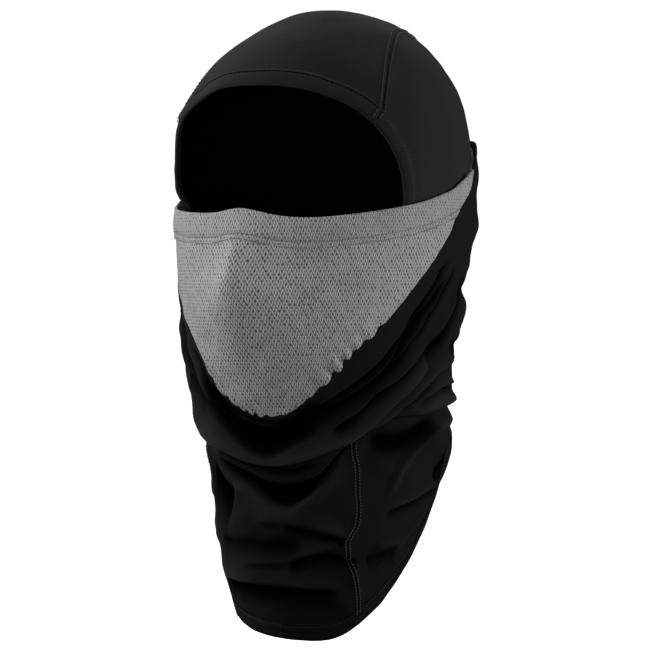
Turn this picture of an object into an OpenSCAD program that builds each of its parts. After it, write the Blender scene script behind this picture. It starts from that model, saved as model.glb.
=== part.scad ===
// Balaclava with a pull-down mesh mask, in the shape it takes on a head.
// Millimetres. +Z is up, the face looks along -Y and the wearer's left is +X.
// The origin is the middle of the head cavity, at the level of the cheekbones.

/* [Hood] */
// Half width of the hood over the ears
hood_w = 78; // [74:1:79]
// Half length of the hood, from the middle of the head to the brow or the back
hood_l = 98.5; // [94:0.5:99]
// Height of the crown above the widest section
crown_h = 94.5; // [86:0.5:100]
// Height of the widest section
widest_z = 19; // [16:1:22]
// Half width of the middle panel at the back of the head
panel_w = 30; // [24:1:36]

/* [Face opening] */
// Height of the brow edge
brow_z = 69; // [62:1:74]
// Angle from straight ahead to the side of the opening
open_deg = 65; // [58:1:68]
// Width of the turned hem round the opening
open_hem = 9; // [6:1:12]

/* [Mask] */
// Height of the turned hem along the mask's top edge
mask_hem = 9.5; // [7:0.5:12]
// How far the nose lifts the mesh
nose_out = 19; // [12:1:22]

/* [Neck] */
// Height of the turned hem round the bottom
neck_hem = 9; // [7:1:12]
// Angle from straight ahead to a front seam
seam_deg = 52; // [46:1:58]

/* [Fabric] */
// Thickness of the jersey
jersey_t = 1.2; // [0.8:0.1:1.2]
// Thickness of a turned hem, which is two layers
hem_t = 2; // [1.6:0.1:2]
// Thickness of the gathered cowl
cowl_t = 2.4; // [1.6:0.1:2.6]
// Thickness of the mesh
mesh_t = 1; // [0.8:0.1:1.2]
// Diameter of the sewing thread
thread_d = 0.7; // [0.5:0.1:0.9]
// Distance between the two rows of a twin seam
twin_gap = 3.6; // [3:0.1:5]

/* [Hinge seam] */
// Diameter of the rolled seam at the back of the head
roll_d = 3; // [2:0.2:3]
// Length of the rolled seam
roll_len = 34; // [24:1:36]

/* [Hidden] */

black = [0.11, 0.11, 0.11];
trim_black = [0.15, 0.15, 0.15];
thread_black = [0.22, 0.22, 0.22];
mesh_grey = [0.5, 0.5, 0.5];
thread_grey = [0.4, 0.4, 0.4];
label_white = [0.85, 0.85, 0.85];

gap = 0.4;                      // clearance between neighbouring panels
hinge_y = hood_l + 3.5;         // the hinge line, behind the hood
hinge_z = 40;
hood_low_front = -12;           // the hood's free lower edge, inside the mask
hood_low_back = -38;
open_side_z = 4;                // where the sides of the opening are straight
hem_end = 112;                  // where the mask's hem is sewn to the cowl, behind the ears
mesh_end = 103;                 // where the mesh runs out below the hem
edge_gap = 0.9;                 // clearance along a strongly curved edge
back_deg = 179.4;               // the centre back seam
nose_z = -37;

// Sections of the outer layer from the head down to the cowl: height, half width, front, back
outer_form = [[-146, 62.5, 75.5, 84], [-130, 63.5, 78, 84], [-113, 65.5, 84, 82], [-95, 68.5, 92, 79],
              [-75, 71.5, 98.5, 77], [-50, 75.5, 102.5, 80.5], [-25, 78.5, 103, 87.5],
              [0, 80.2, 102.5, 99.8], [19, 80.2, 102, 102], [40, 80, 101.5, 102]];
// Sections of the neck tube under the cowl
neck_form = [[-236, 43.5, 50, 49], [-224, 45.5, 53, 52], [-201, 50, 62, 60], [-180, 54.5, 69.5, 68],
             [-157, 59, 73, 76], [-135, 62, 73.5, 78], [-118, 62.5, 73, 79], [-100, 62, 73, 76],
             [-80, 61, 74, 72]];
// Sections of the hood below its widest line
hood_form = [[-40, 73, 96, 76], [-20, 75.5, 97.5, 85], [0, 77.5, 98.3, 95], [widest_z, hood_w, hood_l, hood_l]];
// Where the cowl's upper edge meets the mesh: angle, height
cowl_top = [[-180, 38], [-120, 35], [-100, 16], [-80, -8], [-60, -29], [-45, -50], [-36, -70], [-24, -92],
            [-12, -105], [2, -110], [14, -109.5], [31, -98], [48, -75.5], [61, -56], [79, -26],
            [100, 5], [120, 35], [180, 38]];
// The cowl's lower fold
cowl_low = [[-180, -96], [-113, -101], [-80, -108], [-55, -116], [-30, -128], [-5, -137], [14, -145],
            [26, -140], [40, -130], [59, -114], [81, -110], [113, -100], [180, -96]];
// The bottom edge of the neck: angle from straight ahead, height
hem_edge = [[0, -232], [35, -232], [55, -228], [72, -213], [88, -191], [100, -168], [112, -142],
            [130, -126], [155, -120], [180, -118]];

// ---- smooth curves through a short list of points ----

// The span of list t that holds x
function span(t, x, i = 0) = i >= len(t) - 2 || x <= t[i + 1][0] ? i : span(t, x, i + 1);

// The slope of column c at point i
function slope(t, i, c) =
    let (a = max(i - 1, 0), b = min(i + 1, len(t) - 1))
    (t[b][c] - t[a][c]) / (t[b][0] - t[a][0]);

// Column c at x, on a cubic through the points
function along(t, x, c = 1) =
    let (i = span(t, x), h = t[i + 1][0] - t[i][0], s = min(1, max(0, (x - t[i][0]) / h)))
    t[i][c] * (1 + 2 * s) * (1 - s) ^ 2 + h * slope(t, i, c) * s * (1 - s) ^ 2
    + t[i + 1][c] * s ^ 2 * (3 - 2 * s) - h * slope(t, i + 1, c) * s ^ 2 * (1 - s);

// ---- the forms that the cloth lies on ----

// A point of a form's section at angle a from straight ahead and height z, moved out by off
function form_point(form, a, z, off = 0) =
    let (reach = along(form, z, cos(a) > 0 ? 2 : 3))
    [(along(form, z, 1) + off) * sin(a), -(reach + off) * cos(a), z];

// How far the nose lifts the mesh at that place
function nose(a, z) =
    nose_out * exp(-(a / 13) ^ 2) * exp(-((z - nose_z) / (z > nose_z ? 24 : 34)) ^ 2);

function mesh_point(a, z, off = 0) = form_point(outer_form, a, z, off) - [0, nose(a, z), 0];

// The point of the hood's skin nearest p, moved out by off
function on_hood(p, off = 0) =
    p[2] >= widest_z
    ? let (n = [p[0] / hood_w, p[1] / hood_l, (p[2] - widest_z) / crown_h], d = n / norm(n))
      [d[0] * (hood_w + off), d[1] * (hood_l + off), widest_z + d[2] * (crown_h + off)]
    : let (a = along(hood_form, p[2], 1), b = along(hood_form, p[2], p[1] < 0 ? 2 : 3),
           r = norm([p[0] / a, p[1] / b]))
      [p[0] / r * (1 + off / a), p[1] / r * (1 + off / b), p[2]];

// ---- edges and seams on the hood ----

// The edge of the face opening, widened by w: t runs from -1 to 1 over the brow
function opening(t, w = 0) =
    let (half = open_deg + w / 1.45, top = brow_z - open_side_z + w,
         low = t < -0.75 || t > 0.75,
         q = min(1, abs(t) / 0.75) * 90,
         a = sign(t) * half * pow(sin(q), 2 / 2.4),
         z = low ? open_side_z - (abs(t) - 0.75) / 0.25 * (open_side_z - hood_low_front)
                 : open_side_z + top * pow(max(cos(q), 0), 2 / 2.4))
    form_point([[-40, 73, 96, 76], [widest_z, hood_w, hood_l, hood_l],
                [brow_z + 12, hood_w * 0.76, hood_l * 0.76, hood_l * 0.76]], a, z);

// Where on the opening the crown seam starts
seam_t = 0.47;

// Half the width of the middle panel, turn degrees round from the brow over the crown
function panel_half(turn) =
    panel_w + 34 * pow(0.5 + 0.5 * cos(min(180, max(0, (turn - 20) * 1.35))), 1.25);

// The crown seam on the wearer's left: t from 0 at the face opening to 1 at the hood's lower edge
function crown_seam(t) =
    let (start = opening(seam_t, open_hem + edge_gap),
         turn = 31 + min(1, t / 0.8) * 149,
         x = panel_half(turn), k = sqrt(1 - (x / hood_w) ^ 2),
         low = max(0, (t - 0.8) / 0.2),
         p = [x, -hood_l * k * cos(turn), widest_z + crown_h * k * sin(turn) - low * (widest_z - hood_low_back)],
         fade = pow(max(0, 1 - t / 0.25), 2))
    start * fade + p * (1 - fade);

// The hood's free lower edge: t from 0 at the face opening to 1 at the crown seam's end
function hood_low(t) =
    let (a0 = opening(1, open_hem + edge_gap), a1 = crown_seam(1), f = atan2(a0[0], -a0[1]),
         g = atan2(a1[0], -a1[1]), a = f + (g - f) * t)
    on_hood([hood_l * sin(a), -hood_l * cos(a),
             hood_low_front + (hood_low_back - hood_low_front) * sin(90 * t)]);

function flip_x(p) = [-p[0], p[1], p[2]];

// A point inside four edges, each a list of the same length as its opposite
function coons(low, high, first, last, i, j, n, m) =
    let (u = i / n, v = j / m)
    (1 - v) * low[i] + v * high[i] + (1 - u) * first[j] + u * last[j]
    - (1 - u) * (1 - v) * low[0] - u * (1 - v) * low[n] - (1 - u) * v * high[0] - u * v * high[n];

// ---- cloth as closed solids ----

// A closed solid between two grids of points with the same rows and columns
module cloth(outer, inner) {
    rows = len(outer);
    cols = len(outer[0]);
    count = rows * cols;
    function at(r, c, side) = side * count + r * cols + c;
    function quad(a, b, c, d) = [[a, b, c], [a, c, d]];
    skins = [for (r = [0:rows - 2], c = [0:cols - 2], side = [0, 1], f =
        side == 0 ? quad(at(r, c, 0), at(r + 1, c, 0), at(r + 1, c + 1, 0), at(r, c + 1, 0))
                  : quad(at(r, c, 1), at(r, c + 1, 1), at(r + 1, c + 1, 1), at(r + 1, c, 1))) f];
    ends = [for (c = [0:cols - 2], f = concat(
        quad(at(0, c, 0), at(0, c + 1, 0), at(0, c + 1, 1), at(0, c, 1)),
        quad(at(rows - 1, c + 1, 0), at(rows - 1, c, 0), at(rows - 1, c, 1), at(rows - 1, c + 1, 1)))) f];
    sides = [for (r = [0:rows - 2], f = concat(
        quad(at(r + 1, 0, 0), at(r, 0, 0), at(r, 0, 1), at(r + 1, 0, 1)),
        quad(at(r, cols - 1, 0), at(r + 1, cols - 1, 0), at(r + 1, cols - 1, 1), at(r, cols - 1, 1)))) f];
    polyhedron(points = concat([for (row = outer) each row], [for (row = inner) each row]),
               faces = concat(skins, ends, sides), convexity = 6);
}

// Cloth on a form: low and high are the heights of its edges at each of the angles
module wrap(form, angles, low, high, rows, t) {
    function grid(off) = [for (r = [0:rows]) [for (c = [0:len(angles) - 1])
        form_point(form, angles[c], low[c] + (high[c] - low[c]) * r / rows, off)]];
    cloth(grid(t / 2), grid(-t / 2));
}

function even(from, to, count) = [for (i = [0:count]) from + (to - from) * i / count];

function heights(edge, angles, up = 0) = [for (a = angles) along(edge, a) + up];

// Cloth on the hood inside four edges
module hood_cloth(low, high, first, last, t) {
    n = len(low) - 1;
    m = len(first) - 1;
    guess = [for (j = [0:m]) [for (i = [0:n]) coons(low, high, first, last, i, j, n, m)]];
    function skin(off) = [for (row = guess) [for (p = row) on_hood(p, off)]];
    cloth(skin(t / 2), skin(-t / 2));
}

// A thread of four flats that runs through the points
module thread(points, d = thread_d) {
    n = len(points) - 1;
    function ahead(i) = let (v = points[min(i + 1, n)] - points[max(i - 1, 0)]) v / norm(v);
    function ring(i) =
        let (f = ahead(i), out = [points[i][0], points[i][1], 0], s = cross(f, out), side = s / norm(s),
             up = cross(side, f))
        [for (k = [0:3]) points[i] + d / 2 * (side * cos(90 * k) + up * sin(90 * k))];
    body = [for (i = [0:n - 1], k = [0:3], f = let (a = 4 * i + k, b = 4 * i + (k + 1) % 4)
        [[a, b, b + 4], [a, b + 4, a + 4]]) f];
    caps = [[2, 1, 0], [3, 2, 0], [4 * n, 4 * n + 1, 4 * n + 2], [4 * n, 4 * n + 2, 4 * n + 3]];
    polyhedron(points = [for (i = [0:n]) each ring(i)], faces = concat(body, caps), convexity = 4);
}

// The list of heights of an edge that is the same on both sides
function both_sides(t) =
    concat([for (i = [len(t) - 1:-1:1]) [-t[i][0], t[i][1]]], t);

hem_low = both_sides(hem_edge);
// The mask's upper edge: over the nose, under the eyes, and up behind the ears
function mask_top_z(a) = 0.3 + 3.5 * exp(-(a / 9) ^ 2) + 34 * pow(max(0, abs(a) - 35) / 90, 2);
// The cowl's upper edge: along the mesh, under the mask's hem, and up behind its ends
function cowl_edge(a) =
    abs(a) > hem_end ? along(cowl_top, a) : min(along(cowl_top, a), mask_top_z(a) - mask_hem - 2 * edge_gap);

thread_up = jersey_t / 2 + thread_d / 2 + 0.25;
steps = 18;
ends = 10;

// ---- the hood ----

module hood_center_panel() {
    front = [for (i = [0:steps]) opening(seam_t * (2 * i / steps - 1), open_hem + edge_gap)];
    left = [for (j = [0:2 * ends]) crown_seam(j / (2 * ends)) - [gap, 0, 0]];
    back = [for (i = [0:steps]) let (x = (2 * i / steps - 1) * left[2 * ends][0])
        [x, hood_l * sqrt(1 - (x / hood_w) ^ 2), hood_low_back]];
    color(black) hood_cloth(front, back, [for (p = left) flip_x(p)], left, jersey_t);
}

module hood_side_panel() {
    top = [for (i = [0:steps]) crown_seam(0.45 * i / steps)];
    front = [for (j = [0:ends]) opening(seam_t + (1 - seam_t) * j / ends, open_hem + edge_gap)];
    rear = [for (j = [0:ends]) crown_seam(0.45 + 0.55 * j / ends)];
    bottom = [for (i = [0:steps]) hood_low(i / steps)];
    color(black) hood_cloth(top, bottom, front, rear, jersey_t);
}

module face_opening_hem() {
    count = 56;
    function rim(w) = [for (i = [0:count]) opening(2 * i / count - 1, w)];
    first = [for (j = [0:2]) opening(-1, open_hem * j / 2)];
    last = [for (j = [0:2]) opening(1, open_hem * j / 2)];
    color(trim_black) hood_cloth(rim(0), rim(open_hem), first, last, hem_t);
}

// Two rows of stitches along the crown seam, one on each panel
module crown_seam_stitch() {
    function row(side) = [for (i = [0:26]) let (p = crown_seam(0.02 + 0.93 * i / 26))
        on_hood(p + [side * twin_gap / 2, 0, 0], thread_up)];
    color(thread_black) for (side = [-1, 1]) thread(row(side));
}

module face_opening_stitch() {
    count = 50;
    end_t = 0.78;
    color(thread_black) thread([for (i = [0:count])
        on_hood(opening(end_t * (2 * i / count - 1), open_hem - 1.6), hem_t / 2 + thread_d / 2 + 0.25)]);
}

// ---- the mask ----

module mask_mesh_panel() {
    cols = 44;
    rows = 9;
    function height(a, r) =
        let (z0 = cowl_edge(a) + edge_gap, z1 = mask_top_z(a) - mask_hem - gap) z0 + (z1 - z0) * r / rows;
    function grid(off) = [for (r = [0:rows]) [for (c = [0:cols])
        let (a = mesh_end * (2 * c / cols - 1)) mesh_point(a, height(a, r), off)]];
    color(mesh_grey) cloth(grid(mesh_t / 2), grid(-mesh_t / 2));
}

module mask_hem_strip(low, high, t, out = 0) {
    cols = 44;
    rows = 4;
    function grid(off) = [for (r = [0:rows]) [for (c = [0:cols])
        let (a = hem_end * (2 * c / cols - 1))
        mesh_point(a, mask_top_z(a) - low + (low - high) * r / rows, off)]];
    cloth(grid(out + t / 2), grid(out - t / 2));
}

// The turned hem: an outer and an inner layer joined along the fold, with room for the elastic
module mask_top_hem() {
    color(mesh_grey) {
        mask_hem_strip(mask_hem, 0, 0.7, 0.85);
        mask_hem_strip(mask_hem, 0, 0.5, -0.45);
    }
}

module mask_hem_elastic() {
    color(trim_black) mask_hem_strip(mask_hem * 0.62, mask_hem * 0.12, 0.36, 0.15);
}

module mask_hem_stitch() {
    count = 44;
    color(thread_grey) for (up = [1.2, 1.2 + twin_gap]) thread([for (i = [0:count])
        let (a = (hem_end - 2) * (2 * i / count - 1))
        mesh_point(a, mask_top_z(a) - mask_hem + up, 1.2 + thread_d / 2 + 0.2)], thread_d * 0.8);
}

// ---- the cowl: the slack of the outer layer, which hangs round the chin ----

module cowl_panel() {
    half = concat(even(0, hem_end, 22), even(hem_end + 0.6, back_deg, 8));
    angles = concat([for (i = [len(half) - 1:-1:1]) -half[i]], half);
    color(black) wrap(outer_form, angles, heights(cowl_low, angles), [for (a = angles) cowl_edge(a)], 8, cowl_t);
}

module cowl_back_stitch() {
    color(thread_black) for (side = [-1, 1]) thread([for (i = [0:16])
        form_point(outer_form, 180 - side * 1.6, -90 + 120 * i / 16, cowl_t / 2 + thread_d / 2 + 0.5)]);
}

// The rolled seam that ties the hood to the outer layer. Both turn about it.
module hinge_seam_roll() {
    color(trim_black) translate([-roll_len / 2, hinge_y, hinge_z]) rotate([0, 90, 0])
        cylinder(d = roll_d, h = roll_len, $fn = 32);
}

// ---- the neck tube ----

neck_top = [[-180, -84], [-60, -92], [0, -98], [60, -92], [180, -84]];

module neck_panel(angles, rows) {
    color(black) wrap(neck_form, angles, heights(hem_low, angles, neck_hem + gap),
                      heights(neck_top, angles), rows, jersey_t);
}

module neck_front_panel() {
    neck_panel(even(-seam_deg, seam_deg, 16), 12);
}

module neck_side_panel() {
    neck_panel(even(seam_deg + 0.4, back_deg, 20), 10);
}

module neck_bottom_hem() {
    angles = even(0.1, back_deg, 36);
    color(trim_black) for (side = [0, 1]) mirror([side, 0, 0])
        wrap(neck_form, angles, heights(hem_low, angles), heights(hem_low, angles, neck_hem), 2, hem_t);
}

// Two rows of stitches up a front seam
module neck_seam_stitch() {
    function row(side) = [for (i = [0:16])
        form_point(neck_form, seam_deg + side * 1.7, -217 + 111 * i / 16, thread_up)];
    color(thread_black) for (side = [-1, 1]) thread(row(side));
}

module neck_back_stitch() {
    color(thread_black) for (side = [-1, 1]) thread([for (i = [0:3])
        form_point(neck_form, 180 - side * 1.6, -108 + 20 * i / 3, thread_up)]);
}

module neck_hem_stitch() {
    color(thread_black) for (side = [0, 1], down = [1.2, 1.2 + twin_gap]) mirror([side, 0, 0])
        thread([for (a = even(0.5, 179, 26))
            form_point(neck_form, a, along(hem_low, a) + neck_hem - down, hem_t / 2 + thread_d / 2 + 0.25)]);
}

// A folded label inside the back of the neck, with nothing on it
module care_label() {
    color(label_white) translate([0, 66, -104]) cube([22, 0.6, 15], center = true);
}

hood_center_panel();
hood_side_panel();  // hood_side_panel_left
mirror([1, 0, 0]) hood_side_panel();  // hood_side_panel_right
face_opening_hem();
crown_seam_stitch();  // crown_seam_stitch_left
mirror([1, 0, 0]) crown_seam_stitch();  // crown_seam_stitch_right
face_opening_stitch();
mask_mesh_panel();
mask_top_hem();
mask_hem_elastic();
mask_hem_stitch();
cowl_panel();
cowl_back_stitch();
neck_front_panel();
neck_side_panel();  // neck_side_panel_left
mirror([1, 0, 0]) neck_side_panel();  // neck_side_panel_right
neck_bottom_hem();
neck_seam_stitch();  // neck_seam_stitch_left
mirror([1, 0, 0]) neck_seam_stitch();  // neck_seam_stitch_right
neck_back_stitch();
neck_hem_stitch();
hinge_seam_roll();
care_label();
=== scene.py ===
"""The looks of a hinged balaclava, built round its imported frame.

The helpers work in millimetres and degrees: an angle is measured from straight ahead (-Y) towards the
wearer's left (+X), and a height is Z. Meshes are made in metres.
"""

import math
from functools import partial

import bpy
import numpy as np
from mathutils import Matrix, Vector


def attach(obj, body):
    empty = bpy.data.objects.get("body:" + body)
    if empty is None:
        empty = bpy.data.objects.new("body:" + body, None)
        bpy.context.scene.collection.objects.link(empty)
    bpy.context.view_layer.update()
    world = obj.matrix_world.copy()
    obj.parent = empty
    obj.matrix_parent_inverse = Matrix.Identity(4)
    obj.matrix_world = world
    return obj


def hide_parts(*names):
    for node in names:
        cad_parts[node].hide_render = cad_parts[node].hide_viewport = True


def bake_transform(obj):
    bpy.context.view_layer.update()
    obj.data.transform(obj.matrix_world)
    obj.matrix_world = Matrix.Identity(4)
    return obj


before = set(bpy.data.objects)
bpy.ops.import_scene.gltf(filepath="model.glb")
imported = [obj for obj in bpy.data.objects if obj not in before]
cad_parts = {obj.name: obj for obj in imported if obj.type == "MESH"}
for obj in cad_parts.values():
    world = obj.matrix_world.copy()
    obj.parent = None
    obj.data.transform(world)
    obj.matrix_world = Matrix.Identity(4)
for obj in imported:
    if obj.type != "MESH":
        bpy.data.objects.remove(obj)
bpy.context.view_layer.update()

MM = 0.001

# ---- the dimensions that part.scad uses too ----

HOOD_W, HOOD_L, CROWN_H, WIDEST_Z = 78.0, 98.5, 94.5, 19.0
PANEL_W = 30.0
BROW_Z, OPEN_DEG, OPEN_SIDE_Z, OPEN_HEM = 66.5, 65.0, 4.0, 9.0
MASK_HEM, HEM_END = 13.0, 136.0
NOSE_OUT, NOSE_DEG, NOSE_Z = 15.0, 3.0, -37.0
NECK_HEM = 9.0
HOOD_LOW_FRONT, HOOD_LOW_BACK = -12.0, -38.0

# Sections from low to high: height, half width, front, back
OUTER = [[-146, 62.5, 75.5, 84], [-130, 63.5, 78, 84], [-113, 65.5, 84, 82], [-95, 68.5, 92, 79],
         [-75, 71.5, 98.5, 77], [-50, 75.5, 102.5, 80.5], [-25, 78.5, 103, 87.5],
         [0, 79.8, 102.5, 99.8], [19, 79.4, 102, 102], [40, 78.4, 101.5, 102]]
NECK = [[-236, 43.5, 50, 49], [-224, 45.5, 53, 52], [-201, 50, 62, 60], [-180, 54.5, 69.5, 68],
        [-157, 59, 73, 76], [-135, 62, 73.5, 78], [-118, 62.5, 73, 79], [-100, 62, 73, 76],
        [-80, 61, 74, 72]]
HOOD_LOW = [[-40, 73, 96, 76], [-20, 75.5, 97.5, 85], [0, 77.5, 98.3, 95],
            [WIDEST_Z, HOOD_W, HOOD_L, HOOD_L]]
OPENING_FORM = [[-40, 73, 96, 76], [WIDEST_Z, HOOD_W, HOOD_L, HOOD_L],
                [BROW_Z + 12, HOOD_W * 0.76, HOOD_L * 0.76, HOOD_L * 0.76]]
# Edges: angle, height
COWL_TOP = [[-180, 40], [-152, 44], [-138, 42], [-124, 24], [-100, 12], [-80, -10], [-62, -30],
            [-50, -43], [-42, -50], [-35, -57], [-28, -65], [-21, -77], [-16, -87], [-11, -96],
            [-4, -103], [3, -106.5], [12, -108], [20, -106], [29, -98], [38, -87], [48, -73], [61, -56],
            [72, -37], [80, -23], [88, -9], [94, 2.5], [103, 14], [110, 26], [118, 35], [127, 40],
            [138, 42], [152, 44], [180, 40]]
COWL_LOW = [[-180, -96], [-113, -101], [-80, -108], [-62, -118], [-48, -125], [-37, -128.5], [-14, -133],
            [-3, -137.5], [6, -140.5], [18, -142], [27, -139], [33, -134], [38, -128], [44, -122],
            [53, -114], [60, -110.5], [69, -108.5], [87, -107], [99, -104], [113, -102], [180, -96]]
MASK_TOP = [[-136, 42], [-100, 20], [-75, 10], [-52, 4], [-35, 1.5], [-16, 0], [-8, 0.3], [-2, 1.7],
            [3, 2.4], [8, 1.4], [14, -0.6], [20, -2], [29, -2.6], [39, -1.6], [54, 1.2], [70, 5.5],
            [86, 12], [100, 20], [115, 28.5], [136, 42]]
HEM_LOW = [[-180, -118], [-155, -120], [-130, -126], [-112, -142], [-100, -168], [-88, -190],
           [-72, -208], [-55, -217], [-42, -222], [-30, -225.5], [-15, -228], [0, -229.5], [15, -230.4],
           [32, -230.4], [43, -228], [52, -223.5], [62, -217], [72, -209.5], [88, -190], [100, -168],
           [112, -142], [130, -126], [155, -120], [180, -118]]


# ---- curves ----

def along(table, x, column=1):
    """A column of the table at x, on a cubic through its rows."""
    t = np.asarray(table, float)
    xs, ys = t[:, 0], t[:, column]
    x = np.clip(np.asarray(x, float), xs[0], xs[-1])
    i = np.clip(np.searchsorted(xs, x) - 1, 0, len(xs) - 2)
    low, high = np.maximum(np.arange(len(xs)) - 1, 0), np.minimum(np.arange(len(xs)) + 1, len(xs) - 1)
    slope = (ys[high] - ys[low]) / (xs[high] - xs[low])
    h = xs[i + 1] - xs[i]
    s = (x - xs[i]) / h
    return (ys[i] * (1 + 2 * s) * (1 - s) ** 2 + h * slope[i] * s * (1 - s) ** 2
            + ys[i + 1] * s ** 2 * (3 - 2 * s) - h * slope[i + 1] * s ** 2 * (1 - s))


def smooth(x):
    """A smooth step, from 0 below 0 to 1 above 1."""
    x = np.clip(x, 0, 1)
    return x * x * (3 - 2 * x)


def between(x, start, end, fade_in, fade_out):
    """1 from start to end, with soft sides inside them that are fade_in and fade_out wide."""
    return smooth((x - start) / fade_in) * smooth((end - x) / fade_out)


def swell(x, middle, reach):
    """1 in the middle, falling away on both sides of it over about reach."""
    return np.exp(-((x - middle) / reach) ** 2)


def paired(across, up):
    """Flat coordinates from places across and places up."""
    return np.stack(np.broadcast_arrays(across, up), axis=-1)


def unit(v):
    return v / np.maximum(np.linalg.norm(v, axis=-1, keepdims=True), 1e-9)


def waves(p, size, seed, count=14):
    """Smooth noise between about -1 and 1 over points p, as a sum of sine waves about size long."""
    draw = np.random.default_rng(seed)
    total = np.zeros(p.shape[:-1])
    for _ in range(count):
        way = unit(draw.normal(size=p.shape[-1]))
        total += np.sin(p @ way * 2 * math.pi / (size * draw.uniform(0.6, 1.6)) + draw.uniform(0, 6.283))
    return total / math.sqrt(count)


def line_through(path, count=60):
    """A smooth line of count points through the (angle, height) points of a path."""
    p = np.asarray(path, float)
    if len(p) < 3:
        return p[0] + (p[-1] - p[0]) * np.linspace(0, 1, count)[:, None]
    run = np.concatenate([[0], np.cumsum(np.linalg.norm(np.diff(p, axis=0), axis=1))])
    at = np.linspace(0, run[-1], count)
    return np.stack([along(np.column_stack([run, p[:, k]]), at) for k in (0, 1)], axis=-1)


# The share of a fold's length over which it dies away, and the shape of its section
SHARP_END, SOFT_END = 0.12, 0.22
RIDGE_SHAPE, VALLEY_SHAPE = 1.9, 1.35


def relief(folds, deg, z, mm_per_deg):
    """How far a list of folds lifts the cloth. A fold is (height, reach above, reach below, path): the path
    runs with the angle, and the fold dies away at both ends. A ridge is round, and a valley is sharp."""
    total = np.zeros(np.broadcast(deg, z).shape)
    here = paired(deg * mm_per_deg, z).reshape(-1, 2)
    for height, above, below, path in folds:
        line = line_through(path) * (mm_per_deg, 1)
        reach = 3 * max(above, below)
        near = np.all((here > line.min(0) - reach) & (here < line.max(0) + reach), axis=1)
        spots = here[near]
        away = spots[:, None] - line[None]
        far = (away ** 2).sum(-1)
        i = far.argmin(1)
        tangent = unit(np.gradient(line, axis=0))[i]
        side = away[np.arange(len(i)), i]
        over = tangent[:, 0] * side[:, 1] - tangent[:, 1] * side[:, 0]
        past = (tangent * side).sum(1) / np.linalg.norm(line[1] - line[0])
        share = np.clip((i + past) / (len(line) - 1), 0, 1)
        fade = SHARP_END if -6 < height < 0 else SOFT_END
        ends = smooth(np.minimum(share, 1 - share) / fade)
        across = np.abs(over) / np.where(over > 0, above, below)
        lift = height * ends * np.exp(-across ** (RIDGE_SHAPE if height > 0 else VALLEY_SHAPE))
        flat = total.reshape(-1)
        flat[near] += lift
        total = flat.reshape(total.shape)
    return total


def painted_fold_light(folds, deg, z, mm_per_deg, sunk=0.0):
    """Painted light for folded cloth, kept in its colour, gloss and sheen: 1 where it is flat, above 1 on a
    ridge as a painted highlight, near 0 deep in a fold or a sunk hollow as painted shade.
    """
    valleys = relief([f for f in folds if f[0] < 0], deg, z, mm_per_deg) + sunk
    ridges = relief([f for f in folds if f[0] > 0], deg, z, mm_per_deg)
    return np.exp(0.55 * valleys) * (1 + 0.2 * ridges)


# ---- surfaces: each gives points for angles and heights ----

def form_point(form, deg, z):
    """The point of a form of level sections at an angle and a height."""
    a = np.radians(deg)
    reach = np.where(np.cos(a) > 0, along(form, z, 2), along(form, z, 3))
    z = np.broadcast_to(z, reach.shape)
    return np.stack([along(form, z, 1) * np.sin(a), -reach * np.cos(a), z], axis=-1)


def normals(surface, u, v, step=0.6):
    """The outward normals of a surface."""
    du = surface(u + step, v) - surface(u - step, v)
    dv = surface(u, v + step) - surface(u, v - step)
    return unit(np.cross(du, dv))


def lifted(surface, lift):
    """A surface moved out along its own normal by lift(u, v)."""
    def moved(u, v):
        return out_from(surface, u, v, lift(u, v))
    return moved


def out_from(surface, u, v, off):
    """Points off the surface along its normals."""
    return surface(u, v) + normals(surface, u, v) * np.asarray(off, float)[..., None]


def sewn_line(surface, u, v, off):
    """A row for stitches along a surface: points off it, and its normals there."""
    return out_from(surface, u, v, off), normals(surface, u, v)


def stitch_row(line, above):
    """A row for stitches from its points and the points straight above them."""
    return line, unit(above - line)


def moved_out(p, far):
    """Points moved level, away from the middle of the body."""
    return p + unit(p * np.array([1, 1, 0.0])) * np.asarray(far)[..., None]


def outer_form(deg, z):
    """The outer layer before its folds, drawn in on the wearer's right and in two places on the left."""
    right = between(deg, -118, -16, 36, 30)
    left = between(deg, 80, 172, 30, 30)
    drawn = 2.6 * swell(z, -36, 12) + 2.0 * swell(z, -90, 14)
    low = 3.6 * swell(z, -117, 11)
    return moved_out(form_point(OUTER, deg, z), -(3.6 + low) * right - drawn * left)


def neck_form(deg, z):
    """The neck before its folds. It is full high up on the wearer's left, and drawn in on the right."""
    right = between(deg, -120, -30, 30, 20)
    left = between(deg, 80, 172, 30, 30)
    far = 4.4 * swell(z, -125, 21) * left - 2.0 * swell(z, -148, 12) * right
    return moved_out(form_point(NECK, deg, z), far)


def nose(deg, z):
    """A plain rounded ridge, wider low down."""
    tall = np.where(z > NOSE_Z, 24.0, 36.0)
    wide = 8.5 + 7 * smooth((NOSE_Z + 22 - z) / 42)
    across = np.exp(-np.sqrt(((deg - NOSE_DEG) / wide) ** 2 + 0.02) ** 1.6)
    return NOSE_OUT * across * swell(z, NOSE_Z, tall)


def mask_form(deg, z):
    """The mask before its puckers."""
    p = outer_form(deg, z)
    p[..., 1] -= nose(deg, z)
    return p


def mask_top(deg):
    """The height of the mask's upper edge."""
    return along(MASK_TOP, deg)


# ---- meshes ----

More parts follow.
